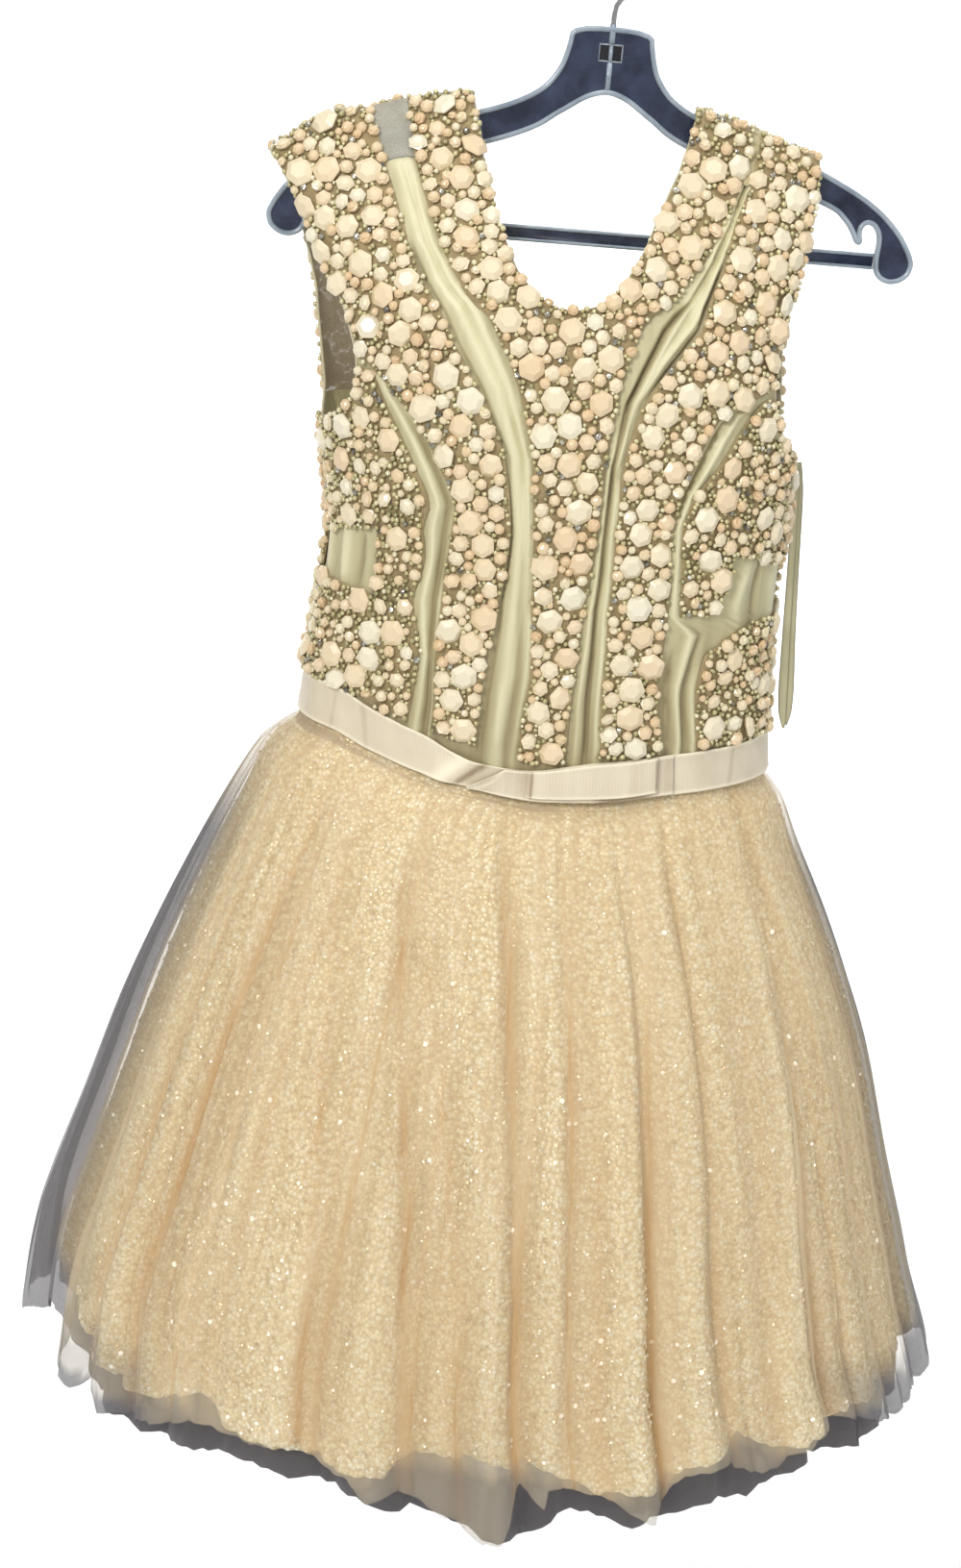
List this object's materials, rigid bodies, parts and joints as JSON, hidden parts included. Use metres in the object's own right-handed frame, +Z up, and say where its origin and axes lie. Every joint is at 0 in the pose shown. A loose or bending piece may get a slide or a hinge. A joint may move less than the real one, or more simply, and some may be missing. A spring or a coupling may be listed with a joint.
{
  "type": "beaded mini dress on a clothes hanger",
  "caption": "Sleeveless scoop-neck mini dress with beaded bands, ribbon waist, bow tab and flared sequin and tulle skirt, hung on a moulded hanger.",
  "frame": {"origin": "inner top of the hanger's hook, where a rail carries it", "axes": "+Z up, -Y out of the dress's front, +X to the viewer's right"},
  "size_m": [0.6494, 0.4486, 1.0296],
  "materials": {
    "satin_organza": "soft satin sheen, tucked folds",
    "net": "sheer fine net",
    "beadwork": "faceted discs, beads and small pearls on net",
    "overlay_tulle": "sheer peach tulle",
    "sequin_tulle": "champagne sequins on tulle",
    "under_tulle": "sheer tulle",
    "ribbon": "ribbed satin ribbon",
    "loop_ribbon": "narrow satin ribbon",
    "zip_tape": "plain woven tape",
    "hanger_plastic": "dark smoky plastic with paler rims",
    "hook_wire": "plated wire"
  },
  "bodies": {
    "root": {"bodice_front": "satin_organza", "bodice_back_left": "satin_organza", "bodice_back_right": "satin_organza", "shoulder_net_left": "net", "shoulder_net_right": "net", "beads_centre": "beadwork", "beads_neck_left": "beadwork", "beads_neck_right": "beadwork", "beads_outer_left_lower": "beadwork", "beads_outer_left_upper": "beadwork", "beads_outer_right_lower": "beadwork", "beads_outer_right_upper": "beadwork", "beads_side_left": "beadwork", "beads_side_right": "beadwork", "beads_back_left_inner": "beadwork", "beads_back_left_outer": "beadwork", "beads_back_left_side": "beadwork", "beads_back_left_upper": "beadwork", "beads_back_right_inner": "beadwork", "beads_back_right_outer": "beadwork", "beads_back_right_side": "beadwork", "beads_back_right_upper": "beadwork", "waistband_front": "ribbon", "waistband_back_left": "ribbon", "waistband_back_right": "ribbon", "bow_tab": "ribbon", "ribbon_loop": "loop_ribbon", "back_zip_tape": "zip_tape", "skirt_overlay_front": "overlay_tulle", "skirt_overlay_back": "overlay_tulle", "skirt_sequin_front": "sequin_tulle", "skirt_sequin_back": "sequin_tulle", "skirt_under_front": "under_tulle", "skirt_under_back": "under_tulle", "hanger_arms": "hanger_plastic", "hanger_bar": "hanger_plastic", "hanger_hook": "hook_wire"}
  },
  "joints": []
}
